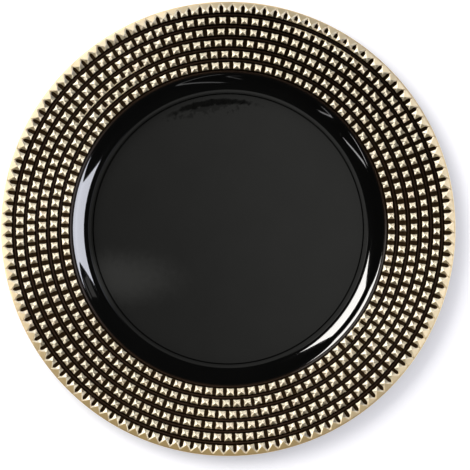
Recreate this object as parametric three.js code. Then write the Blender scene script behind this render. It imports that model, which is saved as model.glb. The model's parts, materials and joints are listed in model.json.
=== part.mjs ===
// Charger plate: a black moulded dish whose rim carries rows of gold pyramid studs and a gold lip.
// Millimetres, +Z up. The origin is the middle of the foot ring's standing plane.

import * as THREE from "three";

// Driving sizes of the dish
const PLATE_DIAMETER = 330; // over the gold lip
const WALL = 2.5; // thickness of the moulding
const FOOT_HEIGHT = 2; // foot ring, below the underside of the floor
const FOOT_WIDTH = 3.5;
const FOOT_INSET = 4; // from the edge of the flat floor to the outside of the foot ring
const CONCAVE_RADIUS = 15.15; // lower bend of the well wall, on its top side
const CONVEX_RADIUS = 5.2; // upper bend of the well wall, on its top side
const WALL_SLOPE = 46; // degrees, steepest part of the well wall
const RIM_SLOPE = 7; // degrees
const RIM_MARGIN = 2.15; // plain rim between the well wall and the first row of studs
const LINE_INSET = 1.55; // from the edge of the flat floor to the fine line pressed round it
const LINE_WIDTH = 0.8;
const LINE_DEPTH = 0.4;

// Driving sizes of the studs
const ROW_COUNT = 6; // the outermost row is part of the lip
const STUD_WIDTH = 4.9; // across its row
const STUD_LENGTH = 5; // along its row, at its middle
const STUD_TAPER = 0.1; // how much longer it is at its outer side than at its inner side, as a share
const STUD_HEIGHT = 1.7; // pyramid, above the ridge that carries it
const ROW_GAP = 3.25; // between the studs of neighbouring rows
const STUD_GAP = 2.76; // between neighbouring studs of the first row
const STUD_GAP_GROWTH = 0.02; // added with each row outwards
const RIDGE_HEIGHT = 1.1; // ridge above the rim, at the corners of the studs
const RIDGE_DRAFT = 0.35; // how far each flank of the ridge spreads towards its foot
const HOLLOW_DEPTH = 0.4; // scooped between studs, below the ridge
const HOLLOW_BITE = 0.35; // how far the hollow eats into the side of a stud
const ROW_TURNS = [0.196, 0.067, 0.187, 0.413, 0.752, 0.122]; // first stud's place in its row, in stud pitches

// Driving sizes of the lip
const LIP_LAND = 2.9; // from the last studs' square outline to the edge of the plate
const NOTCH_MIDDLE = 1.2; // from the last studs' middle out to the deepest place of the notches between them
const GABLE_SHARE = 0.8; // share of the lip's edge that the outer sides of the last studs take
const GABLE_DROP = 0.15; // outer ends of the last studs, below the ridge
const VALLEY_DROP = 0.65; // valleys between those ends, below the ridge
const LIP_ROUND = 0.7; // from the outer ends of the last studs to the edge of the plate
const LIP_THICKNESS = 2.4; // skirt that hangs round the edge of the rim

const SEAT_GAP = 0.3; // clearance between a ring and the rim under it

// How finely the round shapes are divided
const DISH_SEGMENTS = 44;
const CONCAVE_STEPS = 3;
const CONVEX_STEPS = 2;

const plateRadius = PLATE_DIAMETER / 2;
const rowPitch = STUD_WIDTH + ROW_GAP;
const lipRowRadius = plateRadius - LIP_LAND - STUD_WIDTH / 2;
const firstRowRadius = lipRowRadius - (ROW_COUNT - 1) * rowPitch;
const rimEndRadius = plateRadius - LIP_THICKNESS - SEAT_GAP;
const rimStartRadius = firstRowRadius - STUD_WIDTH / 2 - RIM_MARGIN;

const wallSlope = THREE.MathUtils.degToRad(WALL_SLOPE);
const rimSlope = THREE.MathUtils.degToRad(RIM_SLOPE);
const floorHeight = FOOT_HEIGHT + WALL;
const concaveReach = CONCAVE_RADIUS * Math.sin(wallSlope);
const convexReach = CONVEX_RADIUS * (Math.sin(wallSlope) - Math.sin(rimSlope));
const floorRadius = rimStartRadius - concaveReach - convexReach;
const concaveCentre = new THREE.Vector2(floorRadius, floorHeight + CONCAVE_RADIUS);
const bendPoint = concaveCentre
  .clone()
  .add(new THREE.Vector2(Math.sin(wallSlope), -Math.cos(wallSlope)).multiplyScalar(CONCAVE_RADIUS));
const convexCentre = bendPoint
  .clone()
  .add(new THREE.Vector2(Math.sin(wallSlope), -Math.cos(wallSlope)).multiplyScalar(CONVEX_RADIUS));
const rimStartHeight = convexCentre.y + CONVEX_RADIUS * Math.cos(rimSlope);

// Height of the rim's top at a radius.
function rimHeight(radius) {
  return rimStartHeight + (radius - rimStartRadius) * Math.tan(rimSlope);
}

// One side of the well wall and rim, from the floor's edge to the rim's end, at a depth below the top surface.
function dishSide(depth) {
  const points = [];
  for (let step = 0; step <= CONCAVE_STEPS; step++) {
    const slope = (wallSlope * step) / CONCAVE_STEPS;
    const reach = CONCAVE_RADIUS + depth;
    points.push(
      new THREE.Vector2(concaveCentre.x + reach * Math.sin(slope), concaveCentre.y - reach * Math.cos(slope)),
    );
  }
  for (let step = 1; step <= CONVEX_STEPS; step++) {
    const slope = THREE.MathUtils.lerp(wallSlope, rimSlope, step / CONVEX_STEPS);
    const reach = CONVEX_RADIUS - depth;
    points.push(
      new THREE.Vector2(convexCentre.x - reach * Math.sin(slope), convexCentre.y + reach * Math.cos(slope)),
    );
  }
  points.push(new THREE.Vector2(rimEndRadius, rimHeight(rimEndRadius) - depth / Math.cos(rimSlope)));
  return points;
}

// The dish is one revolved profile: floor with its fine line, well wall, rim, and the foot ring underneath.
function dishGeometry() {
  const lineRadius = floorRadius - LINE_INSET;
  const footOuter = floorRadius - FOOT_INSET;
  const footInner = footOuter - FOOT_WIDTH;
  const top = [
    new THREE.Vector2(0, floorHeight),
    new THREE.Vector2(lineRadius - LINE_WIDTH / 2, floorHeight),
    new THREE.Vector2(lineRadius, floorHeight - LINE_DEPTH),
    new THREE.Vector2(lineRadius + LINE_WIDTH / 2, floorHeight),
    ...dishSide(0),
  ];
  const underside = [
    ...dishSide(WALL).reverse(),
    new THREE.Vector2(footOuter, FOOT_HEIGHT),
    new THREE.Vector2(footOuter, 0),
    new THREE.Vector2(footInner, 0),
    new THREE.Vector2(footInner, FOOT_HEIGHT),
    new THREE.Vector2(0, FOOT_HEIGHT),
  ];
  // The lathe turns its profile about +Y and faces outwards when the profile runs from the bottom up.
  const profile = [...top, ...underside].reverse();
  const geometry = new THREE.LatheGeometry(profile, DISH_SEGMENTS);
  geometry.rotateX(Math.PI / 2);
  return geometry;
}

// Number of studs that fill a row.
function studCount(radius, row) {
  const stride = STUD_LENGTH + STUD_GAP + row * STUD_GAP_GROWTH;
  return Math.round((2 * Math.PI * radius) / stride);
}

// A ring of pyramid studs on a ridge that is hollowed between them.
// The form says where the studs' outer corners lie: their reach from the studs' middle, half the angle
// between them and their rise above the ridge. It also says how far out the hollows are deepest.
// The skirt closes the ring underneath: points from the outer side of the studs round to the inner side.
function studRing(radius, row, form, skirt) {
  const count = studCount(radius, row);
  const pitch = (2 * Math.PI) / count;
  const halfStud = STUD_LENGTH / 2 / radius;
  const halfInner = halfStud * (1 - STUD_TAPER / 2);
  const bite = HOLLOW_BITE / radius;
  const inner = radius - STUD_WIDTH / 2;
  const middle = radius + form.hollowReach;
  const outer = radius + form.outerReach;
  const positions = [];
  const triangles = [];

  function vertex(distance, angle, height) {
    positions.push(distance * Math.cos(angle), distance * Math.sin(angle), height);
    return positions.length / 3 - 1;
  }

  // One side of a stud: its inner corner, the waist that the hollow eats into, and its outer corner.
  function studSide(angle, side) {
    const waistTurn = side * (halfStud - bite);
    return {
      inner: vertex(inner, angle + side * halfInner, rimHeight(inner) + RIDGE_HEIGHT),
      waist: vertex(middle, angle + waistTurn, rimHeight(middle) + RIDGE_HEIGHT - HOLLOW_DEPTH),
      outer: vertex(outer, angle + side * form.outerHalf, rimHeight(outer) + RIDGE_HEIGHT + form.outerRise),
    };
  }

  const studs = [];
  for (let k = 0; k < count; k++) {
    const angle = (k + ROW_TURNS[row]) * pitch;
    studs.push({
      apex: vertex(radius, angle, rimHeight(radius) + RIDGE_HEIGHT + STUD_HEIGHT),
      near: studSide(angle, -1),
      far: studSide(angle, 1),
      skirt: skirt.map((point) => vertex(point.x, angle - pitch / 2, point.y)),
    });
  }

  function quad(a, b, c, d) {
    triangles.push(a, b, c, a, c, d);
  }

  studs.forEach((stud, k) => {
    const next = studs[(k + 1) % count];
    const { apex, near, far } = stud;
    const loop = [near.inner, near.waist, near.outer, far.outer, far.waist, far.inner];
    loop.forEach((corner, i) => {
      triangles.push(apex, corner, loop[(i + 1) % loop.length]);
    });
    quad(far.inner, far.waist, next.near.waist, next.near.inner);
    quad(far.waist, far.outer, next.near.outer, next.near.waist);

    const last = skirt.length - 1;
    quad(near.outer, stud.skirt[0], next.skirt[0], far.outer);
    triangles.push(far.outer, next.skirt[0], next.near.outer);
    for (let i = 0; i < last; i++) {
      quad(stud.skirt[i], stud.skirt[i + 1], next.skirt[i + 1], next.skirt[i]);
    }
    quad(near.inner, far.inner, next.skirt[last], stud.skirt[last]);
    triangles.push(far.inner, next.near.inner, next.skirt[last]);
  });

  const geometry = new THREE.BufferGeometry();
  geometry.setAttribute("position", new THREE.Float32BufferAttribute(positions, 3));
  geometry.setIndex(triangles);
  geometry.computeVertexNormals();
  return geometry;
}

// Foot of a ridge, lying just above the rim.
function seatPoint(radius) {
  return new THREE.Vector2(radius, rimHeight(radius) + SEAT_GAP);
}

// A plain row: its ridge stands on the rim.
function studRowGeometry(row) {
  const radius = firstRowRadius + row * rowPitch;
  const square = {
    outerReach: STUD_WIDTH / 2,
    outerHalf: ((STUD_LENGTH / 2) * (1 + STUD_TAPER / 2)) / radius,
    outerRise: 0,
    hollowReach: 0,
  };
  const footReach = STUD_WIDTH / 2 + RIDGE_DRAFT;
  return studRing(radius, row, square, [seatPoint(radius + footReach), seatPoint(radius - footReach)]);
}

// The edge row: the outer sides of its studs run out to the lip as gables, with a valley between each two.
// The lip hangs over the rim's end.
function lipRingGeometry() {
  const row = ROW_COUNT - 1;
  const gableEnd = plateRadius - LIP_ROUND;
  const gable = {
    outerReach: gableEnd - lipRowRadius,
    outerHalf: (GABLE_SHARE * Math.PI) / studCount(lipRowRadius, row),
    outerRise: -GABLE_DROP,
    hollowReach: NOTCH_MIDDLE,
  };
  const valleyHeight = rimHeight(gableEnd) + RIDGE_HEIGHT - VALLEY_DROP;
  const skirtInner = plateRadius - LIP_THICKNESS;
  const skirtFoot = rimHeight(rimEndRadius) - WALL / Math.cos(rimSlope);
  return studRing(lipRowRadius, row, gable, [
    new THREE.Vector2(plateRadius - LIP_ROUND / 2, valleyHeight),
    new THREE.Vector2(plateRadius, valleyHeight - LIP_ROUND / 2),
    new THREE.Vector2(plateRadius, skirtFoot),
    new THREE.Vector2(skirtInner, skirtFoot),
    seatPoint(skirtInner),
    seatPoint(lipRowRadius - STUD_WIDTH / 2 - RIDGE_DRAFT),
  ]);
}

function blackPlastic() {
  return new THREE.MeshStandardMaterial({ color: 0x0c0c0c, roughness: 0.25, metalness: 0 });
}

function goldFoil() {
  return new THREE.MeshStandardMaterial({ color: 0xd9c48c, roughness: 0.28, metalness: 1 });
}

function namedMesh(name, geometry, material) {
  const mesh = new THREE.Mesh(geometry, material);
  mesh.name = name;
  return mesh;
}

const plate = new THREE.Group();
plate.add(namedMesh("plate_body", dishGeometry(), blackPlastic()));
for (let row = 0; row < ROW_COUNT - 1; row++) {
  plate.add(namedMesh(`stud_row_${row + 1}`, studRowGeometry(row), goldFoil()));
}
plate.add(namedMesh("lip_ring", lipRingGeometry(), goldFoil()));

export default plate;
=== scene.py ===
import json
import math
from typing import NamedTuple

import bmesh
import bpy
from bpy.props import FloatProperty, FloatVectorProperty, IntProperty, PointerProperty
from mathutils import Matrix, Vector

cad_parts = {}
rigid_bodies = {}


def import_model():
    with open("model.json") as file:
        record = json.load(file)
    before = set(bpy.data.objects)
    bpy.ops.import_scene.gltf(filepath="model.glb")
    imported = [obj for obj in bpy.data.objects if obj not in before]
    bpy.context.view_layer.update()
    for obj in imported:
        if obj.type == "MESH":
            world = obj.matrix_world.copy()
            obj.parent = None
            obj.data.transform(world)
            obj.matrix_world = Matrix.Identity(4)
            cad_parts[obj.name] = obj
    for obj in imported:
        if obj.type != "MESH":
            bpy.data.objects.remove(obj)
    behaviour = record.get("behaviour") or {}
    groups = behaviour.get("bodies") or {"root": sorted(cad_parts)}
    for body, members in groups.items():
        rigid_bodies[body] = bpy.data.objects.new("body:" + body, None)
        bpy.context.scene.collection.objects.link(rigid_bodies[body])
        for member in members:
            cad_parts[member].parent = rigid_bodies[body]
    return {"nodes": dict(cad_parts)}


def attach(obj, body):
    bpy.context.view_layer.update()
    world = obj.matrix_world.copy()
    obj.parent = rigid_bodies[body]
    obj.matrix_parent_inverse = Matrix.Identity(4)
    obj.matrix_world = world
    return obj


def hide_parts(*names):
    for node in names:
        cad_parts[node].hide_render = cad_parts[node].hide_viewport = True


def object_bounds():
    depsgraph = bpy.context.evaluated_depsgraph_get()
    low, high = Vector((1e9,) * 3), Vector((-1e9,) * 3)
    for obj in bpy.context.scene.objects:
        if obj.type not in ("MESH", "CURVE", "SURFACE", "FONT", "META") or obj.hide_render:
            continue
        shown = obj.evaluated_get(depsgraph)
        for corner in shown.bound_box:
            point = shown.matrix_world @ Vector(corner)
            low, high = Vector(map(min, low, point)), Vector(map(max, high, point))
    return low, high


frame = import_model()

bl_info = {
    "name": "Studded Charger Plate",
    "version": (1, 0, 0),
    "blender": (4, 5, 0),
    "location": "View3D > Sidebar > Plate",
    "description": "Builds a black charger plate with gold pyramid studs round its rim",
    "category": "Add Mesh",
}

MM = 0.001
FULL_TURN = 2 * math.pi
CAD_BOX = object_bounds()

PLAIN_ROWS = [name for name in sorted(frame["nodes"]) if name.startswith("stud_row_")]
LIP_NODE = "lip_ring"
DISH_NODE = "plate_body"

# How finely the round shapes are divided
DISH_SEGMENTS = 256
RING_SEGMENTS = 256
CONCAVE_STEPS = 16
CONVEX_STEPS = 12
SHOULDER_STEPS = 6
RIM_STEPS = 6
FLOOR_RINGS = 5
MARGIN_PARTS = (0.1, 0.9, 1.0)

# Distance of the extra ring of points that keeps a flat face flat beside an edge
GUARD = 0.05 * MM

# Turns above which an edge is shaded as a sharp one
SHARP_TURN = math.radians(28)
SHARP_STUD_TURN = math.radians(14)

# Parts of the way from a stud's tip to its edge at which it has a ring of points
STUD_LEVELS = (0.1, 0.55, 0.93)

# Small forms of every stud: sag of its faces and bluntness of its tip as shares of its height,
# roll of its edge and spread of its foot
STUD_SCOOP = 0.07
TIP_BLUNT = 0.06
STUD_ROLL = 0.12 * MM
STUD_SPREAD = 0.2 * MM

# Sag of a stud's sides towards the next studs of its row, and of its sides towards the well and the lip,
# as shares of its height; how far the latter curve in, as a share of the bite
ROW_SIDE_SAG = 0.1
RADIAL_SAG = 0.03
RADIAL_BITE = 0.75

# How deep an inner stud is rooted, as a share of its ridge's height
ROOT_SHARE = 0.75

# Edge studs: share of their length at the inner side; where a flank bends, as a share of half the width
# and a part of the way to the notch; stretch of a notch's round end, turns of the points on it, and
# foil cover at its tip
EDGE_STUD_INNER = 0.96
FLANK_BEND = (-0.1, 0.6)
NOTCH_STRETCH = 1.35
NOTCH_TURNS = (math.radians(35), math.radians(60))
NOTCH_COVER = 0.5

# First stud's place in its row, in stud pitches, from the well outwards
ROW_TURNS = [0.196, 0.067, 0.187, 0.413, 0.752, 0.122]

# Slow change of the studs' size: scale and mean of its noise, and places where studs came out smaller
# or larger, each with its middle and half its spread in degrees and its share of the slow swell
SWELL_SCALE = 16
SWELL_MEAN = 0.52
SIZE_CHANGES = ((8, 18, -0.43), (-158, 22, -0.33), (-103, 25, 0.23))

# Places where the stamp pressed foil over the edge of a ridge, by row from the well outwards:
# side of the ridge (-1 faces the well), middle of the place and half its spread in degrees
ALL_ROUND = 190
PRESS_MARKS = {
    0: ((-1, -36, 8),),
    1: ((-1, 131, 10),),
    2: ((-1, 130.5, 17),),
    4: ((1, 61, 13),),
    5: ((-1, 62.5, 14), (1, 0, ALL_ROUND)),
}
PRESS_FADE = math.radians(4)

# Foil cover at the foot of studs and ridges, where the film is painted darker as shade, and in the hollows;
# stretches of cover over which the film and the foil set in, and how ragged the cover is
FLANK_COVER = -0.35
HOLLOW_COVER = 0.05
FILM_COVER = (0.12, 0.5)
FOIL_COVER = (0.46, 0.56)
RAGGED_COVER = 0.35

# Side of the plate on which the brown film is painted darkest, as painted shade, the stretch over which that
# shade sets in, and how far
PAINTED_SHADE_TURN = math.radians(62)
PAINTED_SHADE_REACH = (60 * MM, 140 * MM)
PAINTED_SHADE_DEPTH = 0.55

# Side of the floor that is glossiest, and the gloss from one edge of the floor to the other
GLOSS_TURN = math.radians(18)
GLOSS_REACH = 100 * MM
GLOSS_RANGE = (0.52, 0.98)

# Dull smear on the floor, and the flecks along its inner side: half the sweep of each, radius of its middle,
# half its width, softness and raggedness of its outline, and how much gloss it leaves
SMEAR_TURN = math.radians(98)
DULL_PATCHES = (
    (math.radians(19), 93.2 * MM, 2.3 * MM, 0.3, 1.2, 0.12),
    (math.radians(11.4), 89.8 * MM, 3.2 * MM, 0.15, 5.0, 0.6),
)

# Soft glow on the floor: middle, half its reach, softness and raggedness of its outline, and gloss added
GLOW_MIDDLE = (-84 * MM, -36 * MM)
GLOW_HALF = (36 * MM, 15 * MM)
GLOW_OUTLINE = (0.75, 0.5)
GLOW_GLOSS = 0.7

# Scale of the torn outline of such patches
TEAR_SCALE = 320

# Hairlines: direction, how much they are drawn out, and the part of the noise that becomes a line
HAIRLINE_TURN = math.radians(24)
HAIRLINE_STRETCH = 0.03
HAIRLINE_PICK = (0.66, 0.74)

BUMP_DEPTH = 0.1 * MM

# Shades of a colour, and of the floor's gloss, that the clouding changes between
PLASTIC_SHADES = (0.8, 1.3)
GAP_FILM_SHADES = (0.9, 1.2)
FOIL_SHADES = (1.0, 0.92)
DEEP_FOIL_SHADES = (1.0, 0.9)
PALE_FLOOR_SHADES = (0.985, 1.0)
GLOSS_SHADES = (0.94, 1.04)

# Stretches over which the floor's gloss ends outside its edge, and the film and the dull coat set in
# inside the first ridge
FLOOR_END = (3 * MM, 2 * MM)
FILM_START = (3.2 * MM, 0.8 * MM)
DULL_START = (1.4 * MM, 0.4 * MM)

# Coat on a hairline and between the rows of studs
HAIRLINE_COAT = 0.9
DULL_COAT = 0.08

# Painted shade: share of the film's colour left at the feet of studs and ridges; random tints that stain a
# stud, and how far; roughness of foil and film
FOOT_PAINTED_SHADE = 0.25
STAINING_TINTS = (0.8, 1.0)
MOST_STAIN = 0.5
FOIL_ROUGHNESS = (0.28, 0.37)
FILM_ROUGHNESS = 0.6


class Lamp(NamedTuple):
    """A flat light that faces the plate: turn and rise in degrees, distance and size in metres."""

    name: str
    turn: float
    rise: float
    distance: float
    width: float
    height: float
    tint: tuple
    outline: str = "RECTANGLE"


PLAIN_LIGHT = (1.0, 1.0, 1.0)
WHITE = (1.0, 0.98, 0.95)
IVORY = (1.0, 1.0, 0.95)
WARM = (1.0, 0.92, 0.62)
COOL = (0.88, 0.90, 1.0)
DAYLIGHT = (0.91, 0.97, 1.0)
SKY = (0.9, 0.9, 1.0)
PALE_BLUE = (0.70, 0.80, 1.0)

# Lamps by what they light
FLOOR_LAMPS = (
    Lamp("key_softbox", 145.5, 47, 1.2, 1.1, 0.93, WHITE),
    Lamp("side_panel", -2.5, 33, 1.1, 1.0, 0.93, SKY),
    Lamp("ceiling", 0, 90, 2.4, 3.0, 3.0, SKY),
)
DISH_LAMPS = (
    Lamp("key_gleam", 145.5, 47, 1.15, 0.44, 0.85, WHITE),
    Lamp("side_gleam", -2.5, 29.5, 1.05, 0.62, 1.1, COOL),
    Lamp("top_gleam", 0, 90, 2.3, 0.44, 0.44, IVORY, "DISK"),
    Lamp("high_key_gleam", 150, 82, 2.32, 0.36, 0.16, WHITE),
    Lamp("high_side_gleam", 0, 82, 2.32, 0.5, 0.16, COOL),
    Lamp("far_gleam", 23, 22, 1.25, 0.17, 0.6, WHITE),
)
FOIL_LAMPS = (
    Lamp("left_panel", 160, 22, 1.5, 2.8, 1.2, DAYLIGHT),
    Lamp("back_panel", 92, 22, 1.45, 1.6, 1.4, DAYLIGHT),
    Lamp("right_panel", -10, 10, 1.4, 1.8, 0.95, DAYLIGHT),
    Lamp("upper_left_panel", 152, 62, 1.6, 1.6, 0.7, PALE_BLUE),
    Lamp("upper_right_panel", 8, 62, 1.55, 1.5, 0.7, PALE_BLUE),
    Lamp("front_panel", -108, 52, 1.35, 1.9, 1.2, WARM),
)

# Bright edges in the studio that the well wall mirrors: turn and rise of both ends in degrees,
# width in metres, and brightness as a share of the brightest
STUDIO_EDGES = (
    ((-70, 2), (-88, 46), 0.05, 0.2),
    ((-89, 2), (-95, 20), 0.03, 0.12),
    ((-128, 30), (-133, 3), 0.035, 0.5),
    ((-143, 44), (-155, 13), 0.06, 1.0),
)
EDGE_DISTANCE = 1.3

WORLD_TINT = (0.01, 0.01, 0.0105, 1)
FLOOR_HALF = 6
FLOOR_GRID = 8
SENSOR_WIDTH = 36


# Settings that a user would change


def length_setting(name, description, millimetres):
    """A setting for a size."""
    return FloatProperty(name=name, description=description, default=millimetres * MM, unit="LENGTH")


def angle_setting(name, description, degrees):
    """A setting for a slope or a turn."""
    return FloatProperty(name=name, description=description, default=math.radians(degrees), subtype="ANGLE")


def share_setting(name, description, share):
    """A setting for a part of a whole."""
    return FloatProperty(name=name, description=description, default=share, subtype="FACTOR")


def power_setting(name, description, watts):
    """A setting for a lamp."""
    return FloatProperty(name=name, description=description, default=watts, unit="POWER")


def colour_setting(name, description, *values):
    """A setting for a colour, given as red, green and blue."""
    return FloatVectorProperty(name=name, description=description, default=values, size=3, subtype="COLOR")


class DishSettings(bpy.types.PropertyGroup):
    """Sizes of the moulded dish"""

    diameter: length_setting("Diameter", "Across the plate, over its lip", 330)
    wall: length_setting("Wall", "Thickness of the moulding", 2.5)
    foot_height: length_setting("Foot height", "Foot ring below the floor", 2)
    foot_width: length_setting("Foot width", "Foot ring, inside to outside", 3.5)
    foot_inset: length_setting("Foot inset", "From the floor's edge to the foot ring", 4)
    foot_round: length_setting("Foot round", "Blunted edges of the foot ring", 0.4)
    concave_radius: length_setting("Lower bend", "Bend from the floor into the well wall", 15.15)
    convex_radius: length_setting("Upper bend", "Bend from the well wall into the rim", 5.2)
    wall_slope: angle_setting("Wall slope", "Steepest slope of the well wall", 46)
    rim_slope: angle_setting("Rim slope", "Rise of the rim towards the lip", 7)
    rim_margin: length_setting("Rim margin", "Plain rim inside the first studs", 2.15)
    margin_slope: angle_setting("Margin slope", "Rise of the plain rim", 6.5)
    line_inset: length_setting("Line inset", "From the floor's edge to its fine line", 1.55)
    line_width: length_setting("Line width", "Fine line pressed round the floor", 0.95)
    line_depth: length_setting("Line depth", "Depth of the fine line", 0.9)


class StudSettings(bpy.types.PropertyGroup):
    """Sizes of the gold studs, their ridges and the lip"""

    width: length_setting("Width", "Stud across its row", 4.9)
    length: length_setting("Length", "Stud along its row", 5)
    height: length_setting("Height", "Pyramid above its ridge", 1.7)
    row_gap: length_setting("Row gap", "Between the studs of two rows", 3.25)
    gap: length_setting("Gap", "Between two studs of the first row", 2.76)
    gap_growth: length_setting("Gap growth", "Added to the gap with each row outwards", 0.02)
    bite: length_setting("Bite", "How far each side of a stud curves in", 0.14)
    ridge_height: length_setting("Ridge height", "Ridge that carries the studs", 1.1)
    ridge_draft: length_setting("Ridge draft", "How far the ridge spreads to its foot", 1.3)
    hollow: length_setting("Hollow", "Depth of the hollows between studs", 0.4)
    edge: length_setting("Edge", "Half the width of the blunt edges of a stud", 0.16)
    lean: share_setting("Lean", "Share of the rim's slope by which inner studs lean", 0.35)
    sway: angle_setting("Sway", "Most that a stud leans or turns", 2.2)
    swell: share_setting("Swell", "Most that a stud's size differs", 0.04)
    slow_swell: share_setting("Slow swell", "Slow change of the studs' size along a row", 0.3)
    taper: share_setting("Taper", "How much longer a stud is outside than inside", 0.1)
    seed: IntProperty(name="Seed", description="Seed of the studs' small differences", default=7)
    lip_land: length_setting("Lip land", "Plain lip outside the last studs", 2.9)
    notch_reach: length_setting("Notch reach", "From the edge studs' middle to the notch tips", 2.8)
    notch_side: length_setting("Notch side", "From an edge stud's middle to the notch beside it", 2.56)
    gable_reach: length_setting("Gable reach", "From the edge studs' middle to where two gables meet", 4.3)
    gable_drop: length_setting("Gable drop", "Outer end of an edge stud below its ridge", 0.15)
    lip_drop: length_setting("Lip drop", "Lip's shoulder below the ridge", 0.3)
    lip_round: length_setting("Lip round", "Rounding of the lip's shoulder", 0.7)
    lip_thickness: length_setting("Lip thickness", "Skirt round the rim's edge", 2.4)
    lip_roll: length_setting("Lip roll", "Rounding of the skirt's foot", 0.5)


class FinishSettings(bpy.types.PropertyGroup):
    """Colours of the plate"""

    plastic: colour_setting("Plastic", "Black moulding", 0.0012, 0.0012, 0.0011)
    hollow: colour_setting("Hollow", "Brown film between the studs", 0.025, 0.0130, 0.0052)
    film: colour_setting("Film", "Thin foil on the ridges' edges", 0.046, 0.027, 0.011)
    gap_film: colour_setting("Gap film", "Dust of foil between the rows", 0.0155, 0.0090, 0.0054)
    stain: colour_setting("Stain", "Browner foil on a few studs", 0.94, 0.73, 0.55)
    foil: colour_setting("Foil", "Pale gold foil", 0.94, 0.79, 0.58)
    foil_deep: colour_setting("Deep foil", "Deeper gold, on the lip", 0.94, 0.70, 0.40)


class StageSettings(bpy.types.PropertyGroup):
    """Floor, light and camera; a lamp's power has the lamp's name"""

    camera_height: length_setting("Camera height", "Camera above the floor", 2000)
    camera_side: length_setting("Camera to the right", "Camera off the plate's middle", 4.93)
    camera_back: length_setting("Camera to the back", "Camera off the plate's middle", -4.47)
    view_width: length_setting("View width", "Width of the picture at the rim", 340.9)
    key_softbox: power_setting("Key", "Softbox at the back left", 18.5)
    side_panel: power_setting("Side", "Panel at the right", 3.8)
    ceiling: power_setting("Ceiling", "Soft light from above", 33.0)
    key_gleam: power_setting("Key gleam", "Mirrored softbox", 21.3)
    side_gleam: power_setting("Side gleam", "Mirrored panel", 24.5)
    top_gleam: power_setting("Top gleam", "Mirrored dim ceiling", 0.215)
    high_key_gleam: power_setting("High key gleam", "Mirrored in the rim's margin", 0.16)
    high_side_gleam: power_setting("High side gleam", "Mirrored in the rim's margin", 0.2)
    far_gleam: power_setting("Far gleam", "Small far window", 0.16)
    edge_gleam: FloatProperty(name="Edge gleam", description="Brightest mirrored edge", default=5.2)
    left_panel: power_setting("Left panel", "Lights the foil", 25.0)
    back_panel: power_setting("Back panel", "Lights the foil", 6.8)
    right_panel: power_setting("Right panel", "Lights the foil", 10.6)
    upper_left_panel: power_setting("Upper left panel", "Lights the lip", 7.3)
    upper_right_panel: power_setting("Upper right panel", "Lights the lip", 6.9)
    front_panel: power_setting("Front panel", "Warm dim light", 2.6)
    floor_lift: FloatProperty(name="Floor lift", description="White added to the floor as seen", default=0.3)
    floor: colour_setting("Floor", "Pale floor", 0.80, 0.80, 0.81)


# Shape of the dish, worked out from the settings


class DishShape:
    """Radii and heights that follow from the driving sizes."""

    def __init__(self, dish, studs):
        self.dish = dish
        self.studs = studs
        self.radius = dish.diameter / 2
        self.row_pitch = studs.width + studs.row_gap
        self.row_count = len(PLAIN_ROWS) + 1
        self.lip_row = self.radius - studs.lip_land - studs.width / 2
        first_row = self.lip_row - (self.row_count - 1) * self.row_pitch
        self.row_radii = [first_row + row * self.row_pitch for row in range(self.row_count)]
        self.rim_start = first_row - studs.width / 2 - dish.rim_margin
        self.rim_end = self.radius - studs.lip_thickness
        self.floor_height = dish.foot_height + dish.wall
        steep = math.sin(dish.wall_slope)
        reach = dish.concave_radius * steep + dish.convex_radius * (steep - math.sin(dish.rim_slope))
        self.floor_radius = self.rim_start - reach
        self.line_radius = self.floor_radius - dish.line_inset
        both_bends = dish.concave_radius + dish.convex_radius
        self.concave_centre = (self.floor_radius, self.floor_height + dish.concave_radius)
        self.convex_centre = (
            self.floor_radius + both_bends * steep,
            self.concave_centre[1] - both_bends * math.cos(dish.wall_slope),
        )
        self.rim_start_height = self.convex_centre[1] + dish.convex_radius * math.cos(dish.rim_slope)

    def rim_height(self, radius):
        """Height of the rim's top at a radius."""
        return self.rim_start_height + (radius - self.rim_start) * math.tan(self.dish.rim_slope)

    def stud_count(self, row):
        """Whole number of studs that a row holds."""
        stride = self.studs.length + self.studs.gap + row * self.studs.gap_growth
        return round(FULL_TURN * self.row_radii[row] / stride)

    def side(self, depth):
        """Well wall and rim, from the floor's edge outwards, at a depth below the top surface."""
        points = []
        concave = self.dish.concave_radius + depth
        for step in range(CONCAVE_STEPS + 1):
            slope = self.dish.wall_slope * step / CONCAVE_STEPS
            points.append((
                self.concave_centre[0] + concave * math.sin(slope),
                self.concave_centre[1] - concave * math.cos(slope),
            ))
        convex = self.dish.convex_radius - depth
        for step in range(1, CONVEX_STEPS + 1):
            slope = between(self.dish.wall_slope, self.dish.margin_slope, step / CONVEX_STEPS)
            points.append((
                self.convex_centre[0] - convex * math.sin(slope),
                self.convex_centre[1] + convex * math.cos(slope),
            ))
        margin = points[-1]
        first_ridge = self.row_radii[0] - self.studs.width / 2 - self.studs.ridge_draft
        for part in MARGIN_PARTS:
            reach = part * (first_ridge - margin[0])
            points.append((margin[0] + reach, margin[1] + reach * math.tan(self.dish.margin_slope)))
        drop = depth / math.cos(self.dish.rim_slope)
        for step in range(RIM_STEPS + 1):
            radius = between(self.row_radii[0], self.rim_end, step / RIM_STEPS)
            points.append((radius, self.rim_height(radius) - drop))
        return points


def plate_shape(context):
    """The dish's shape from the scene's settings."""
    return DishShape(context.scene.plate_dish, context.scene.plate_studs)


# Mesh helpers


def between(start, end, part):
    """A value part of the way from one to another."""
    return start + (end - start) * part


def new_piece(context, name, mesh):
    """A new object at the origin with a mesh in place."""
    piece = bpy.data.objects.new(name, mesh)
    context.scene.collection.objects.link(piece)
    return piece


def smooth_outwards(form):
    """Turns a form's faces outwards and shades them smooth."""
    bmesh.ops.recalc_face_normals(form, faces=form.faces)
    for face in form.faces:
        face.smooth = True


def finished_mesh(name, form):
    """A mesh of a form, which is then freed."""
    mesh = bpy.data.meshes.new(name)
    form.to_mesh(mesh)
    form.free()
    return mesh


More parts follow.
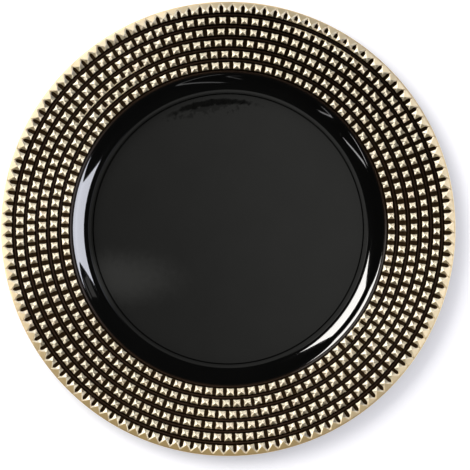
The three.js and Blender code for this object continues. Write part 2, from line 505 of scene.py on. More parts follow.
def turn_at(before, here, after):
    """How far a profile turns at a point."""
    first = math.atan2(here[1] - before[1], here[0] - before[0])
    second = math.atan2(after[1] - here[1], after[0] - here[0])
    return abs((second - first + math.pi) % FULL_TURN - math.pi)


def pressed(angle, side, marks):
    """How far foil was pressed over one side of a ridge at an angle, from 0 to 1."""
    most = 0.0
    for mark_side, middle, spread in marks:
        off = abs((angle - math.radians(middle) + math.pi) % FULL_TURN - math.pi)
        if mark_side * side > 0:
            most = max(most, (math.radians(spread) - off) / PRESS_FADE)
    return min(1.0, most)


def turned_mesh(name, profile, segments, closed, marks=()):
    """A mesh turned about Z.

    Each point of its profile has a radius, height, foil cover and the cover added where foil was pressed.
    """
    form = bmesh.new()
    foil = form.verts.layers.float.new("foil")
    deep = form.verts.layers.float.new("deep")
    rings = []
    for radius, height, cover, press in profile:
        steps = 1 if radius == 0 else segments
        ring = []
        for step in range(steps):
            angle = FULL_TURN * step / segments
            vertex = form.verts.new((radius * math.cos(angle), radius * math.sin(angle), height))
            vertex[deep] = pressed(angle, press, marks)
            vertex[foil] = cover + abs(press) * vertex[deep]
            ring.append(vertex)
        rings.append(ring)
    pairs = list(zip(rings, rings[1:]))
    if closed:
        pairs.append((rings[-1], rings[0]))
    for low, high in pairs:
        for step in range(segments):
            after = (step + 1) % segments
            if len(low) == 1:
                form.faces.new((low[0], high[step], high[after]))
            elif len(high) == 1:
                form.faces.new((low[step], low[after], high[0]))
            else:
                form.faces.new((low[step], low[after], high[after], high[step]))
    smooth_outwards(form)
    count = len(profile)
    for place, ring in enumerate(rings):
        if len(ring) == 1:
            continue
        turn = turn_at(profile[place - 1], profile[place], profile[(place + 1) % count])
        if turn > SHARP_TURN:
            for step in range(segments):
                form.edges.get((ring[step], ring[(step + 1) % segments])).smooth = False
    return finished_mesh(name, form)


# Stud shapes


class Outline(NamedTuple):
    """A point of a stud's outline: radial place, place along the row, height, foil cover at the foot."""

    x: float
    y: float
    z: float
    cover: float = FLANK_COVER
    ridge: bool = False


def stud_mesh(name, outline, studs, root):
    """A pyramid over an outline, with blunt ridges and scooped sides, that reaches down to its root."""
    form = bmesh.new()
    foil = form.verts.layers.float.new("foil")
    tip = studs.height
    scoop = STUD_SCOOP * studs.height

    def vertex(x, y, z, cover):
        made = form.verts.new((x, y, z))
        made[foil] = cover
        return made

    def ring(part, drop, spread=0.0, at_root=False):
        """Points round the stud, part of the way from its tip to its outline."""
        points = []
        for point in outline:
            reach = math.hypot(point.x, point.y)
            along = (point.x / reach, point.y / reach)
            out = part * reach + spread
            sink = drop if point.ridge else drop + 4 * part * (1 - part) * scoop
            z = root if at_root else between(tip, point.z, part) - sink
            cover = point.cover if at_root else 1.0
            blunt = studs.edge * min(1, 2 * part)
            for side in (-1, 1) if point.ridge else (0,):
                x = along[0] * out - side * along[1] * blunt
                y = along[1] * out + side * along[0] * blunt
                points.append(vertex(x, y, z, cover))
        return points

    rings = [ring(part, 0) for part in STUD_LEVELS]
    rings.append(ring(1, STUD_ROLL))
    rings.append(ring(1, 0, STUD_SPREAD, at_root=True))
    peak = vertex(0, 0, tip - TIP_BLUNT * tip, 1)
    count = len(rings[0])
    for step in range(count):
        form.faces.new((peak, rings[0][step], rings[0][(step + 1) % count]))
    for upper, lower in zip(rings, rings[1:]):
        for step in range(count):
            after = (step + 1) % count
            form.faces.new((upper[step], lower[step], lower[after], upper[after]))
    form.faces.new(reversed(rings[-1]))
    smooth_outwards(form)
    for edge in form.edges:
        if edge.calc_face_angle(0) > SHARP_STUD_TURN:
            edge.smooth = False
    return finished_mesh(name, form)


def plain_stud(studs):
    """A stud of the inner rows: square, with all four sides curved in."""
    half_width = studs.width / 2
    half_length = studs.length / 2
    half_inner = half_length * (1 - studs.taper / 2)
    half_outer = half_length * (1 + studs.taper / 2)
    radial_bite = RADIAL_BITE * studs.bite
    row_side = -ROW_SIDE_SAG * studs.height
    radial_side = -RADIAL_SAG * studs.height
    outline = [
        Outline(-half_width, -half_inner, 0, ridge=True),
        Outline(0, studs.bite - half_length, row_side),
        Outline(half_width, -half_outer, 0, ridge=True),
        Outline(half_width - radial_bite, 0, radial_side),
        Outline(half_width, half_outer, 0, ridge=True),
        Outline(0, half_length - studs.bite, row_side),
        Outline(-half_width, half_inner, 0, ridge=True),
        Outline(radial_bite - half_width, 0, radial_side),
    ]
    return stud_mesh("plain_stud", outline, studs, -ROOT_SHARE * studs.ridge_height)


def lip_stud(studs, pitch, lip_end):
    """A stud of the edge row: a gable that runs out to the lip, with a notch on either side."""
    half_width = studs.width / 2
    inner = EDGE_STUD_INNER * studs.length / 2
    valley = pitch / 2
    meet = studs.gable_reach
    fall_out = (studs.height + studs.gable_drop) / lip_end

    def on_facet(x, y, ridge=False):
        return Outline(x, y, studs.height - fall_out * x, 1.0, ridge)

    # Slopes of the plane through the tip, the inner corner and the place where two gables meet
    area = inner * meet + half_width * valley
    slope_x = (valley * studs.height - inner * fall_out * meet) / area
    slope_y = (-half_width * fall_out - studs.height) * meet / area

    def on_flank(x, y, cover=FLANK_COVER):
        return Outline(x, y, studs.height + slope_x * x + slope_y * y, cover)

    round_off = valley - studs.notch_side
    bend = studs.notch_reach - NOTCH_STRETCH * round_off
    side = [
        Outline(-half_width, inner, 0, ridge=True),
        on_flank(FLANK_BEND[0] * half_width, between(inner, studs.notch_side, FLANK_BEND[1])),
        on_flank(bend, studs.notch_side),
    ]
    for turn in NOTCH_TURNS:
        side.append(on_flank(bend + round_off * math.sin(turn), valley - round_off * math.cos(turn)))
    side += [
        on_flank(studs.notch_reach, valley, NOTCH_COVER),
        on_facet(meet, valley, ridge=True),
        on_facet(lip_end, valley),
    ]
    middle_out = on_facet(lip_end, 0)
    middle_in = Outline(RADIAL_BITE * studs.bite - half_width, 0, -RADIAL_SAG * studs.height)
    mirrored = [point._replace(y=-point.y) for point in side]
    outline = mirrored + [middle_out] + side[::-1] + [middle_in]
    mesh = stud_mesh("lip_stud", outline, studs, -studs.ridge_height)
    deep = mesh.attributes.new("deep", "FLOAT", "POINT")
    for vertex, share in zip(mesh.vertices, deep.data):
        outer_facet = abs(vertex.co.y) < vertex.co.x * valley / meet
        share.value = 1.0 if outer_facet else 0.0
    return mesh


# Node helpers


def open_socket(sockets, name):
    """The socket of that name that is in use."""
    return next(socket for socket in sockets if socket.name == name and socket.enabled)


def feed(tree, socket, value):
    """Links an output to a socket, or sets the socket to a plain value."""
    if isinstance(value, bpy.types.NodeSocket):
        tree.links.new(value, socket)
    else:
        socket.default_value = value


def feed_inputs(tree, node, inputs):
    """Feeds a node's inputs, given by name or in order."""
    if isinstance(inputs, dict):
        pairs = [(open_socket(node.inputs, name), value) for name, value in inputs.items()]
    else:
        pairs = zip(node.inputs, inputs)
    for socket, value in pairs:
        feed(tree, socket, value)


def add_node(tree, kind, inputs=(), **settings):
    """A new node with its own settings and inputs."""
    node = tree.nodes.new(kind)
    for name, value in settings.items():
        setattr(node, name, value)
    feed_inputs(tree, node, inputs)
    return node


def math_node(tree, operation, *values):
    """Result of a Math node fed by links or plain numbers."""
    return add_node(tree, "ShaderNodeMath", values, operation=operation).outputs[0]


def vector_node(tree, operation, *values):
    """Result of a Vector Math node, a vector or a number, fed by links or plain vectors."""
    node = add_node(tree, "ShaderNodeVectorMath", values, operation=operation)
    return next(output for output in node.outputs if output.enabled)


def ramp(tree, value, low, high, start=0.0, end=1.0):
    """A smooth step of a value, from one number to another."""
    inputs = {"Value": value, "From Min": low, "From Max": high, "To Min": start, "To Max": end}
    return add_node(tree, "ShaderNodeMapRange", inputs, interpolation_type="SMOOTHSTEP").outputs[0]


def noise(tree, place, detail, scale):
    """Noise at a place."""
    inputs = {"Vector": place, "Detail": detail, "Scale": scale}
    return add_node(tree, "ShaderNodeTexNoise", inputs).outputs[0]


def group_ends(tree, inputs, outputs):
    """Named inputs and outputs of a group, each with its kind, as its input and output nodes."""
    for way, sockets in (("INPUT", inputs), ("OUTPUT", outputs)):
        for name, kind in sockets.items():
            tree.interface.new_socket(name=name, in_out=way, socket_type=f"NodeSocket{kind}")
    return tree.nodes.new("NodeGroupInput"), tree.nodes.new("NodeGroupOutput")


# Row of studs


def row_tree():
    """Geometry Nodes that set studs round a ridge, each a little different."""
    tree = bpy.data.node_groups.new("row_of_studs", "GeometryNodeTree")
    counts = dict.fromkeys(("Count", "Seed"), "Int")
    measures = dict.fromkeys(("Radius", "Height", "Slope", "Turn", "Sway", "Swell", "Slow swell"), "Float")
    inputs = {"Ridge": "Geometry", "Stud": "Object", **counts, **measures, "Finish": "Material"}
    start, end = group_ends(tree, inputs, {"Row": "Geometry"})
    values = start.outputs

    index = add_node(tree, "GeometryNodeInputIndex").outputs[0]
    place = math_node(tree, "ADD", index, values["Turn"])
    angle = math_node(tree, "MULTIPLY", math_node(tree, "DIVIDE", place, values["Count"]), FULL_TURN)
    spot = add_node(tree, "ShaderNodeCombineXYZ", {
        "X": math_node(tree, "MULTIPLY", math_node(tree, "COSINE", angle), values["Radius"]),
        "Y": math_node(tree, "MULTIPLY", math_node(tree, "SINE", angle), values["Radius"]),
        "Z": values["Height"],
    })
    points = add_node(tree, "GeometryNodePoints", {"Count": values["Count"], "Position": spot.outputs[0]})

    def random_value(kind, seed_shift, **span):
        """A random value of a kind for each stud, with a seed of its own."""
        seed = math_node(tree, "ADD", values["Seed"], float(seed_shift))
        node = add_node(tree, "FunctionNodeRandomValue", {"Seed": seed, **span}, data_type=kind)
        return open_socket(node.outputs, "Value")

    def random_vector(spread, seed_shift):
        """A vector for each stud, between minus and plus the spread."""
        lowest = math_node(tree, "MULTIPLY", spread, -1.0)
        return random_value("FLOAT_VECTOR", seed_shift, Min=lowest, Max=spread)

    slope = math_node(tree, "MULTIPLY", values["Slope"], -1.0)
    upright = add_node(tree, "ShaderNodeCombineXYZ", {"Y": slope, "Z": angle}).outputs[0]
    lean = vector_node(tree, "ADD", upright, random_vector(values["Sway"], 0))
    turn = add_node(tree, "FunctionNodeEulerToRotation", (lean,)).outputs[0]

    position = add_node(tree, "GeometryNodeInputPosition").outputs[0]
    uneven = math_node(tree, "SUBTRACT", noise(tree, position, 0, SWELL_SCALE), SWELL_MEAN)
    for middle, spread, change in SIZE_CHANGES:
        facing = math_node(tree, "COSINE", math_node(tree, "SUBTRACT", angle, math.radians(middle)))
        local = ramp(tree, facing, math.cos(math.radians(spread)), 1.0, 0.0, change)
        uneven = math_node(tree, "ADD", uneven, local)
    slow_size = math_node(tree, "ADD", math_node(tree, "MULTIPLY", uneven, values["Slow swell"]), 1.0)
    size = vector_node(tree, "ADD", slow_size, random_vector(values["Swell"], 1))

    stud = add_node(tree, "GeometryNodeObjectInfo", {"Object": values["Stud"]}, transform_space="ORIGINAL")
    studs = add_node(tree, "GeometryNodeInstanceOnPoints", {
        "Points": points.outputs[0],
        "Instance": stud.outputs["Geometry"],
        "Rotation": turn,
        "Scale": size,
    })
    tint = {"Geometry": studs.outputs[0], "Name": "tint", "Value": random_value("FLOAT", 2)}
    tinted = add_node(tree, "GeometryNodeStoreNamedAttribute", tint, data_type="FLOAT", domain="INSTANCE")
    join = add_node(tree, "GeometryNodeJoinGeometry", (tinted.outputs[0],))
    tree.links.new(values["Ridge"], join.inputs[0])
    real = add_node(tree, "GeometryNodeRealizeInstances", (join.outputs[0],))
    dressed = {"Geometry": real.outputs[0], "Material": values["Finish"]}
    finish = add_node(tree, "GeometryNodeSetMaterial", dressed)
    tree.links.new(finish.outputs[0], end.inputs[0])
    return tree


def set_inputs(modifier, values):
    """Sets a Geometry Nodes modifier's inputs by the sockets' identifiers."""
    for item in modifier.node_group.interface.items_tree:
        if item.item_type == "SOCKET" and item.in_out == "INPUT" and item.name in values:
            modifier[item.identifier] = values.pop(item.name)
    if values:
        raise ValueError(f"the tree has no inputs named {sorted(values)}")


def studded_ring(context, name, ridge, stud, row):
    """A ridge with its row of studs as one plain mesh."""
    shape = plate_shape(context)
    studs = shape.studs
    piece = new_piece(context, name, ridge)
    pattern = new_piece(context, f"{name}_stud", stud)
    radius = shape.row_radii[row]
    on_lip = row == shape.row_count - 1
    modifier = piece.modifiers.new("studs", "NODES")
    modifier.node_group = bpy.data.node_groups.get("row_of_studs") or row_tree()
    set_inputs(modifier, {
        "Stud": pattern,
        "Count": shape.stud_count(row),
        "Radius": radius,
        "Height": shape.rim_height(radius) + studs.ridge_height,
        "Slope": shape.dish.rim_slope * (1.0 if on_lip else studs.lean),
        "Turn": ROW_TURNS[row],
        "Sway": studs.sway,
        "Swell": studs.swell,
        "Slow swell": 0.0 if on_lip else studs.slow_swell,
        "Seed": studs.seed + row,
        "Finish": gold_foil(context),
    })
    graph = context.evaluated_depsgraph_get()
    made = piece.evaluated_get(graph)
    mesh = bpy.data.meshes.new_from_object(made, preserve_all_data_layers=True, depsgraph=graph)
    piece.modifiers.clear()
    piece.data = mesh
    mesh.name = name
    bpy.data.objects.remove(pattern)
    bpy.data.meshes.remove(stud)
    bpy.data.meshes.remove(ridge)
    return piece


# Finishes


def object_place(tree):
    """A point's place on the plate."""
    return add_node(tree, "ShaderNodeTexCoord").outputs["Object"]


def fine_wear():
    """Shader group of soft clouding, hairlines and a fine uneven surface."""
    made = bpy.data.node_groups.get("fine_wear")
    if made:
        return made
    tree = bpy.data.node_groups.new("fine_wear", "ShaderNodeTree")
    scales = dict.fromkeys(("Cloud scale", "Grain scale", "Hairline scale"), "Float")
    start, end = group_ends(tree, scales, dict.fromkeys(("Cloud", "Grain", "Hairlines"), "Float"))
    place = object_place(tree)
    drawn_out = add_node(tree, "ShaderNodeMapping", {
        "Vector": place,
        "Rotation": (0, 0, HAIRLINE_TURN),
        "Scale": (1, HAIRLINE_STRETCH, 1),
    })
    lines = noise(tree, drawn_out.outputs[0], 2, start.outputs["Hairline scale"])
    low, high = HAIRLINE_PICK
    picked = add_node(tree, "ShaderNodeMapRange", {"Value": lines, "From Min": low, "From Max": high})
    feed_inputs(tree, end, {
        "Cloud": noise(tree, place, 4, start.outputs["Cloud scale"]),
        "Grain": noise(tree, place, 3, start.outputs["Grain scale"]),
        "Hairlines": picked.outputs[0],
    })
    return tree


def new_finish(name):
    """A new material with its node tree and its shader."""
    material = bpy.data.materials.new(name)
    material.use_nodes = True
    tree = material.node_tree
    shader = next(node for node in tree.nodes if node.type == "BSDF_PRINCIPLED")
    return material, tree, shader


def blend(tree, kind, factor, first, second):
    """One thing or another of a kind by a factor."""
    node = add_node(tree, "ShaderNodeMix", {"Factor": factor, "A": first, "B": second}, data_type=kind)
    return open_socket(node.outputs, "Result")


def blend_value(tree, factor, first, second):
    """One value or another by a factor."""
    return blend(tree, "FLOAT", factor, first, second)


def blend_colour(tree, factor, first, second):
    """One colour or another by a factor."""
    return blend(tree, "RGBA", factor, first, second)


def colour(values, light=1.0):
    """A colour as four numbers, lightened or darkened."""
    return tuple(value * light for value in values) + (1.0,)


def wear_node(tree, cloud, grain, hairline):
    """The wear group placed in a material with its own scales."""
    scales = {"Cloud scale": cloud, "Grain scale": grain, "Hairline scale": hairline}
    return add_node(tree, "ShaderNodeGroup", scales, node_tree=fine_wear()).outputs


def clouded(tree, wear, base, shades):
    """A colour that the clouding changes between two shades."""
    first, second = shades
    return blend_colour(tree, wear["Cloud"], colour(base, first), colour(base, second))


def fine_bump(tree, height, strength):
    """Normals of a fine uneven surface."""
    inputs = {"Strength": strength, "Distance": BUMP_DEPTH, "Height": height}
    return add_node(tree, "ShaderNodeBump", inputs).outputs[0]


def attribute(tree, name):
    """A value that the mesh holds for each of its points."""
    return add_node(tree, "ShaderNodeAttribute", attribute_name=name).outputs["Fac"]


def distance_from_axis(tree):
    """How far a point lies from the plate's middle axis."""
    return vector_node(tree, "LENGTH", vector_node(tree, "MULTIPLY", object_place(tree), (1, 1, 0)))


def towards(tree, turn):
    """How far a point lies from the plate's middle towards one side."""
    return vector_node(tree, "DOT_PRODUCT", object_place(tree), (math.cos(turn), math.sin(turn), 0))


def half_widths(tree, value, middle, half):
    """How many half-widths a value lies from the middle of a patch."""
    return math_node(tree, "DIVIDE", math_node(tree, "SUBTRACT", value, middle), half)


def uneven_by(tree, value, most):
    """A noise value moved to either side of 0 and scaled."""
    return math_node(tree, "MULTIPLY", math_node(tree, "SUBTRACT", value, 0.5), most)


def in_patch(tree, sideways, outwards, softness, ragged):
    """1 inside a round patch and 0 outside it; both distances are counted in half-widths."""
    offset = add_node(tree, "ShaderNodeCombineXYZ", {"X": sideways, "Y": outwards}).outputs[0]
    away = vector_node(tree, "LENGTH", offset)
    tear = uneven_by(tree, noise(tree, object_place(tree), 2, TEAR_SCALE), ragged)
    torn = math_node(tree, "ADD", away, tear)
    return ramp(tree, torn, 1.0 - softness, 1.0 + softness, 1.0, 0.0)


def floor_gloss(tree, cloud):
    """Gloss of the floor: more to one side, with a dull smear at the back and a soft glow at the left."""
    place = add_node(tree, "ShaderNodeSeparateXYZ", (object_place(tree),)).outputs
    turn = math_node(tree, "ARCTAN2", place["Y"], place["X"])
    reach = distance_from_axis(tree)

    gloss = ramp(tree, towards(tree, GLOSS_TURN), -GLOSS_REACH, GLOSS_REACH, *GLOSS_RANGE)
    gloss = math_node(tree, "MULTIPLY", gloss, blend_value(tree, cloud, *GLOSS_SHADES))
    for sweep, radius, half, softness, ragged, gloss_left in DULL_PATCHES:
        along = half_widths(tree, turn, SMEAR_TURN, sweep)
        dull = in_patch(tree, along, half_widths(tree, reach, radius, half), softness, ragged)
        gloss = math_node(tree, "MULTIPLY", gloss, blend_value(tree, dull, 1.0, gloss_left))
    sideways = half_widths(tree, place["X"], GLOW_MIDDLE[0], GLOW_HALF[0])
    backwards = half_widths(tree, place["Y"], GLOW_MIDDLE[1], GLOW_HALF[1])
    glow = in_patch(tree, sideways, backwards, *GLOW_OUTLINE)
    return math_node(tree, "ADD", gloss, blend_value(tree, glow, 0.0, GLOW_GLOSS))


def film_with_painted_side_shade(tree, film):
    """Brown film painted darker towards one side of the plate, as painted shade."""
    side_shade = ramp(tree, towards(tree, PAINTED_SHADE_TURN), *PAINTED_SHADE_REACH, 0.0, PAINTED_SHADE_DEPTH)
    return blend_colour(tree, side_shade, film, (0, 0, 0, 1))


def black_plastic(context):
    """Gloss black moulding: uneven gloss on the floor, brown film between the rows of studs, painted darker
    towards one side as shade.
    """
    made = bpy.data.materials.get("moulded_black")
    if made:
        return made
    shape = plate_shape(context)
    finish = context.scene.plate_finish
    material, tree, shader = new_finish("moulded_black")
    wear = wear_node(tree, cloud=38, grain=420, hairline=900)

    reach = distance_from_axis(tree)
    first_ridge = shape.row_radii[0] - shape.studs.width / 2
    floor = ramp(tree, reach, *[shape.floor_radius + outside for outside in FLOOR_END])
    filmed = ramp(tree, reach, *[first_ridge - inside for inside in FILM_START])
    between_rows = ramp(tree, reach, *[first_ridge - inside for inside in DULL_START])

    shade = clouded(tree, wear, finish.plastic, PLASTIC_SHADES)
    film = clouded(tree, wear, finish.gap_film, GAP_FILM_SHADES)
    gloss = blend_value(tree, wear["Hairlines"], 1.0, HAIRLINE_COAT)
    coat = blend_value(tree, floor, gloss, floor_gloss(tree, wear["Cloud"]))
    # The film between the rows is painted darker towards one side of the plate, as painted shade.
    feed_inputs(tree, shader, {
        "Base Color": blend_colour(tree, filmed, shade, film_with_painted_side_shade(tree, film)),
        "Coat Weight": blend_value(tree, between_rows, coat, DULL_COAT),
        "Roughness": 0.5,
        "Specular IOR Level": 0.0,
        "Coat IOR": 1.6,
        "Coat Roughness": 0.05,
        "Normal": fine_bump(tree, wear["Grain"], 0.04),
    })
    return material


def gold_foil(context):
    """Gold foil that covers the studs and leaves a brown film in the hollows, with painted shade at the
    studs' feet and towards one side of the plate.
    """
    made = bpy.data.materials.get("stamped_foil")
    if made:
        return made
    finish = context.scene.plate_finish
    material, tree, shader = new_finish("stamped_foil")
    wear = wear_node(tree, cloud=55, grain=1400, hairline=2200)

    ragged = uneven_by(tree, wear["Grain"], RAGGED_COVER)
    cover = math_node(tree, "ADD", attribute(tree, "foil"), ragged)
    foiled = ramp(tree, cover, *FOIL_COVER)
    # The film is painted darker towards the feet of studs and ridges, as painted shade.
    clear_of_foot_shade = ramp(tree, cover, FLANK_COVER, HOLLOW_COVER)
    bare = blend_colour(tree, clear_of_foot_shade, colour(finish.hollow, FOOT_PAINTED_SHADE), colour(finish.hollow))
    bare = blend_colour(tree, ramp(tree, cover, *FILM_COVER), bare, colour(finish.film))

    stained = ramp(tree, attribute(tree, "tint"), *STAINING_TINTS, 0.0, MOST_STAIN)
    pale = clouded(tree, wear, finish.foil, FOIL_SHADES)
    pale = blend_colour(tree, stained, pale, colour(finish.stain))
    deep = clouded(tree, wear, finish.foil_deep, DEEP_FOIL_SHADES)
    gold = blend_colour(tree, attribute(tree, "deep"), pale, deep)
    sheen = blend_value(tree, wear["Grain"], *FOIL_ROUGHNESS)
    # The bare film is painted darker towards one side of the plate, as painted shade.
    feed_inputs(tree, shader, {
        "Base Color": blend_colour(tree, foiled, film_with_painted_side_shade(tree, bare), gold),
        "Metallic": foiled,
        "Roughness": blend_value(tree, foiled, FILM_ROUGHNESS, sheen),
        "Specular IOR Level": 0.0,
        "Normal": fine_bump(tree, wear["Grain"], 0.12),
    })
    return material


# Pieces


class PLATE_OT_dish(bpy.types.Operator):
    """Build the black dish with its well, rim and foot ring"""

    bl_idname = "plate.dish"
    bl_label = "Dish"

    def execute(self, context):
        shape = plate_shape(context)
        dish = shape.dish
        foot_outer = shape.floor_radius - dish.foot_inset
        foot_inner = foot_outer - dish.foot_width
        line_start = shape.line_radius - dish.line_width / 2
        line_end = line_start + dish.line_width
        top = [(line_start * step / FLOOR_RINGS, shape.floor_height) for step in range(FLOOR_RINGS)]
        top += [
            (line_start - GUARD, shape.floor_height),
            (line_start, shape.floor_height),
            (shape.line_radius, shape.floor_height - dish.line_depth),
            (line_end, shape.floor_height),
            (line_end + GUARD, shape.floor_height),
            (shape.floor_radius - GUARD, shape.floor_height),
        ]
        top += shape.side(0)
        underside = shape.side(dish.wall)[::-1]
        underside += [
            (foot_outer + GUARD, dish.foot_height),
            (foot_outer, dish.foot_height),
            (foot_outer, dish.foot_round),
            (foot_outer - dish.foot_round, 0),
            (foot_inner + dish.foot_round, 0),
            (foot_inner, dish.foot_round),
            (foot_inner, dish.foot_height),
            (foot_inner - GUARD, dish.foot_height),
            (foot_inner / 2, dish.foot_height),
            (0, dish.foot_height),
        ]
        profile = [(radius, height, 0.0, 0.0) for radius, height in top + underside]
        mesh = turned_mesh("plate_dish", profile, DISH_SEGMENTS, closed=False)
        mesh.materials.append(black_plastic(context))
        piece = new_piece(context, "plate_dish", mesh)
        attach(piece, "root")
        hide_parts(DISH_NODE)
        return {"FINISHED"}


def ridge_top(studs, edge_press=0.3, hollow_press=0.0):
    """Half of a ridge's section, from its foot to its middle.

    Each point has its place across the row, height, foil cover and the cover added where foil was pressed.
    """
    half = studs.width / 2
    rise = studs.ridge_height
    return [
        (half + studs.ridge_draft, -0.15 * MM, FLANK_COVER, 0.0),
        (half + 0.1 * MM, 0.72 * rise, FLANK_COVER, 0.1),
        (half - 0.05 * MM, 0.92 * rise, 0.24, 0.3),
        (half - 0.25 * MM, 0.96 * rise, 0.34, 0.5),
        (half - 0.55 * MM, 0.92 * rise, 0.28, edge_press),
        (0.45 * half, rise - 0.85 * studs.hollow, 0.1, hollow_press),
        (0.0, rise - studs.hollow, 0.05, 0.0),
    ]


def inner_half(half_section):
    """The half of a ridge's section that faces the well."""
    return [(-offset, height, cover, -press) for offset, height, cover, press in half_section]


def on_rim(shape, row, section):
    """A ridge's section set on the rim, at its row."""
    profile = []
    for offset, height, cover, press in section:
        radius = shape.row_radii[row] + offset
        profile.append((radius, shape.rim_height(radius) + height, cover, press))
    return profile


class PLATE_OT_stud_rows(bpy.types.Operator):
    """Build the five inner rows of studs"""

    bl_idname = "plate.stud_rows"
    bl_label = "Stud rows"

    def execute(self, context):
        shape = plate_shape(context)
        half_section = ridge_top(shape.studs)
        section = inner_half(half_section) + half_section[-2::-1]
        for row, node in enumerate(PLAIN_ROWS):
            profile = on_rim(shape, row, section)
            marks = PRESS_MARKS.get(row, ())
            ridge = turned_mesh(f"{node}_ridge", profile, RING_SEGMENTS, closed=True, marks=marks)
            piece = studded_ring(context, f"{node}_studs", ridge, plain_stud(shape.studs), row)
            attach(piece, "root")
            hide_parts(node)
        return {"FINISHED"}


class PLATE_OT_lip(bpy.types.Operator):
    """Build the edge row of studs and the gold lip that it runs out into"""

    bl_idname = "plate.lip"
    bl_label = "Lip"

    def execute(self, context):
        shape = plate_shape(context)
        studs = shape.studs
        row = shape.row_count - 1
        reach = studs.notch_reach
        rise = studs.ridge_height
        section = inner_half(ridge_top(studs, edge_press=0.4, hollow_press=0.5))
        section += [
            (0.5 * reach, rise - 0.9 * studs.hollow, 0.05, 0.0),
            (0.85 * reach, rise - 0.9 * studs.hollow, 0.1, 0.0),
            (1.05 * reach, rise - studs.lip_drop, 0.6, 0.0),
        ]
        profile = on_rim(shape, row, section)
        land_end = shape.radius - studs.lip_round
        shoulder = shape.rim_height(land_end) + rise - studs.lip_drop
        for step in range(SHOULDER_STEPS + 1):
            angle = math.pi / 2 * step / SHOULDER_STEPS
            radius = land_end + studs.lip_round * math.sin(angle)
            height = shoulder - studs.lip_round * (1 - math.cos(angle))
            profile.append((radius, height, 0.0, 1.0))
        skirt_inner = shape.rim_end
        skirt_foot = shape.rim_height(skirt_inner) - shape.dish.wall / math.cos(shape.dish.rim_slope)
        roll = studs.lip_roll
        profile += [
            (shape.radius, skirt_foot + 2.2 * roll, 0.1, 0.8),
            (shape.radius - 0.15 * roll, skirt_foot + 0.6 * roll, 0.2, 0.0),
            (shape.radius - roll, skirt_foot, 0.0, 0.0),
            (skirt_inner, skirt_foot, 0.0, 0.0),
            (skirt_inner, shape.rim_height(skirt_inner) - 0.1 * MM, 0.0, 0.0),
        ]
        marks = PRESS_MARKS.get(row, ())
        ridge = turned_mesh("lip_ridge", profile, RING_SEGMENTS, closed=True, marks=marks)
        pitch = FULL_TURN * shape.lip_row / shape.stud_count(row)
        stud = lip_stud(studs, pitch, land_end - shape.lip_row)
        piece = studded_ring(context, "lip_ring_studs", ridge, stud, row)
        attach(piece, "root")
        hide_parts(LIP_NODE)
        return {"FINISHED"}


# Stage


def pale_floor(stage):
    """Matt floor that the camera sees as white where nothing shades it."""
    material, tree, shader = new_finish("pale_floor")
    wear = wear_node(tree, cloud=6, grain=300, hairline=60)
    path = add_node(tree, "ShaderNodeLightPath").outputs
    seen = math_node(tree, "MAXIMUM", path["Is Camera Ray"], path["Is Glossy Ray"])
    feed_inputs(tree, shader, {
        "Base Color": clouded(tree, wear, stage.floor, PALE_FLOOR_SHADES),
        "Roughness": 0.9,
        "Specular IOR Level": 0.1,
        "Emission Strength": math_node(tree, "MULTIPLY", seen, stage.floor_lift),
        "Emission Color": (1, 1, 1, 1),
    })
    return material


def direction(turn, rise):
    """Direction from the plate's middle at a turn round it and a rise above the floor, in degrees."""
    turn = math.radians(turn)
    rise = math.radians(rise)
    return Vector((math.cos(rise) * math.cos(turn), math.cos(rise) * math.sin(turn), math.sin(rise)))


def softbox(lamp, power, lit):
    """A flat light that faces the plate and reaches only the pieces that it is meant to light."""
    data = bpy.data.lights.new(lamp.name, "AREA")
    data.shape = lamp.outline
    data.size = lamp.width
    data.size_y = lamp.height
    data.energy = power
    data.color = lamp.tint
    light = bpy.data.objects.new(lamp.name, data)
    light.location = lamp.distance * direction(lamp.turn, lamp.rise)
    light.rotation_euler = (math.radians(90 - lamp.rise), 0, math.radians(lamp.turn + 90))
    light.visible_camera = False
    reached = bpy.data.collections.new(f"{lamp.name}_reaches")
    for piece in lit:
        reached.objects.link(piece)
    light.light_linking.receiver_collection = reached
    bpy.context.scene.collection.objects.link(light)
    return light


def set_lamps(stage, lamps, lit):
    """Sets up lamps that light the same pieces, each at the power that the stage has under its name."""
    for lamp in lamps:
        softbox(lamp, getattr(stage, lamp.name), lit)


def studio_edge(name, start, end, width, brightness, lit):
    """A thin strip of light between two places, each given by its turn and rise in degrees."""
    first = EDGE_DISTANCE * direction(*start)
    last = EDGE_DISTANCE * direction(*end)
    middle = (first + last) / 2
    length = (last - first).length
    power = math.pi * length * width * brightness
    light = softbox(Lamp(name, 0, 0, EDGE_DISTANCE, length, width, PLAIN_LIGHT), power, lit)
    along = (last - first).normalized()
    facing = (middle - middle.dot(along) * along).normalized()
    turned = Matrix((along, facing.cross(along), facing)).transposed()
    light.rotation_euler = turned.to_euler()
    light.location = middle


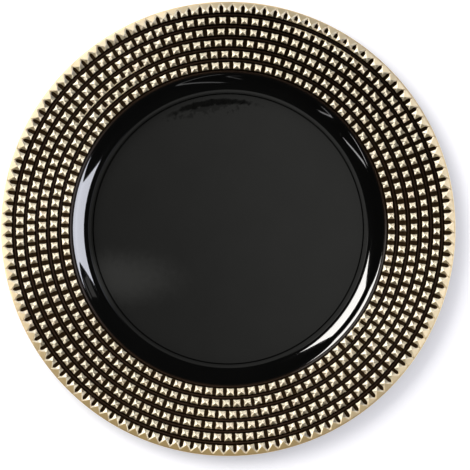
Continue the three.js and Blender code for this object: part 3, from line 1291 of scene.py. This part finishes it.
class PLATE_OT_stage(bpy.types.Operator):
    """Set up the floor, the soft light and the camera"""

    bl_idname = "plate.stage"
    bl_label = "Stage"

    def execute(self, context):
        scene = context.scene
        stage = scene.plate_stage
        form = bmesh.new()
        bmesh.ops.create_grid(form, x_segments=FLOOR_GRID, y_segments=FLOOR_GRID, size=FLOOR_HALF)
        mesh = finished_mesh("floor", form)
        mesh.materials.append(pale_floor(stage))
        floor = new_piece(context, "floor", mesh)

        dish = [bpy.data.objects["plate_dish"]]
        foil = [piece for piece in scene.objects if piece.name.endswith("_studs")]
        set_lamps(stage, FLOOR_LAMPS, [floor])
        set_lamps(stage, DISH_LAMPS, dish)
        for number, (start, end, width, share) in enumerate(STUDIO_EDGES):
            studio_edge(f"studio_edge_{number}", start, end, width, share * stage.edge_gleam, dish)
        set_lamps(stage, FOIL_LAMPS, foil)

        world = bpy.data.worlds.new("studio")
        scene.world = world
        world.use_nodes = True
        background = next(node for node in world.node_tree.nodes if node.type == "BACKGROUND")
        background.inputs["Color"].default_value = WORLD_TINT

        camera = bpy.data.cameras.new("camera")
        camera.sensor_width = SENSOR_WIDTH
        rim_top = CAD_BOX[1][2]
        camera.lens = SENSOR_WIDTH * (stage.camera_height - rim_top) / stage.view_width
        view = bpy.data.objects.new("camera", camera)
        view.location = (stage.camera_side, stage.camera_back, stage.camera_height)
        scene.collection.objects.link(view)
        scene.camera = view
        scene.view_settings.view_transform = "Standard"
        return {"FINISHED"}


class PLATE_PT_panel(bpy.types.Panel):
    """Buttons that build the plate"""

    bl_idname = "PLATE_PT_panel"
    bl_label = "Charger plate"
    bl_space_type = "VIEW_3D"
    bl_region_type = "UI"
    bl_category = "Plate"

    def draw(self, context):
        for operator in OPERATORS:
            self.layout.operator(operator.bl_idname)
        for name in SETTINGS:
            settings = getattr(context.scene, name)
            for key in settings.__annotations__:
                self.layout.prop(settings, key)


SETTINGS = {
    "plate_dish": DishSettings,
    "plate_studs": StudSettings,
    "plate_finish": FinishSettings,
    "plate_stage": StageSettings,
}
OPERATORS = (PLATE_OT_dish, PLATE_OT_stud_rows, PLATE_OT_lip, PLATE_OT_stage)
CLASSES = (*SETTINGS.values(), *OPERATORS, PLATE_PT_panel)


def register():
    for made in CLASSES:
        bpy.utils.register_class(made)
    for name, settings in SETTINGS.items():
        setattr(bpy.types.Scene, name, PointerProperty(type=settings))


def unregister():
    for name in SETTINGS:
        delattr(bpy.types.Scene, name)
    for made in reversed(CLASSES):
        bpy.utils.unregister_class(made)


def main():
    register()
    bpy.ops.plate.dish()
    bpy.ops.plate.stud_rows()
    bpy.ops.plate.lip()
    bpy.ops.plate.stage()


if __name__ == "__main__":
    main()
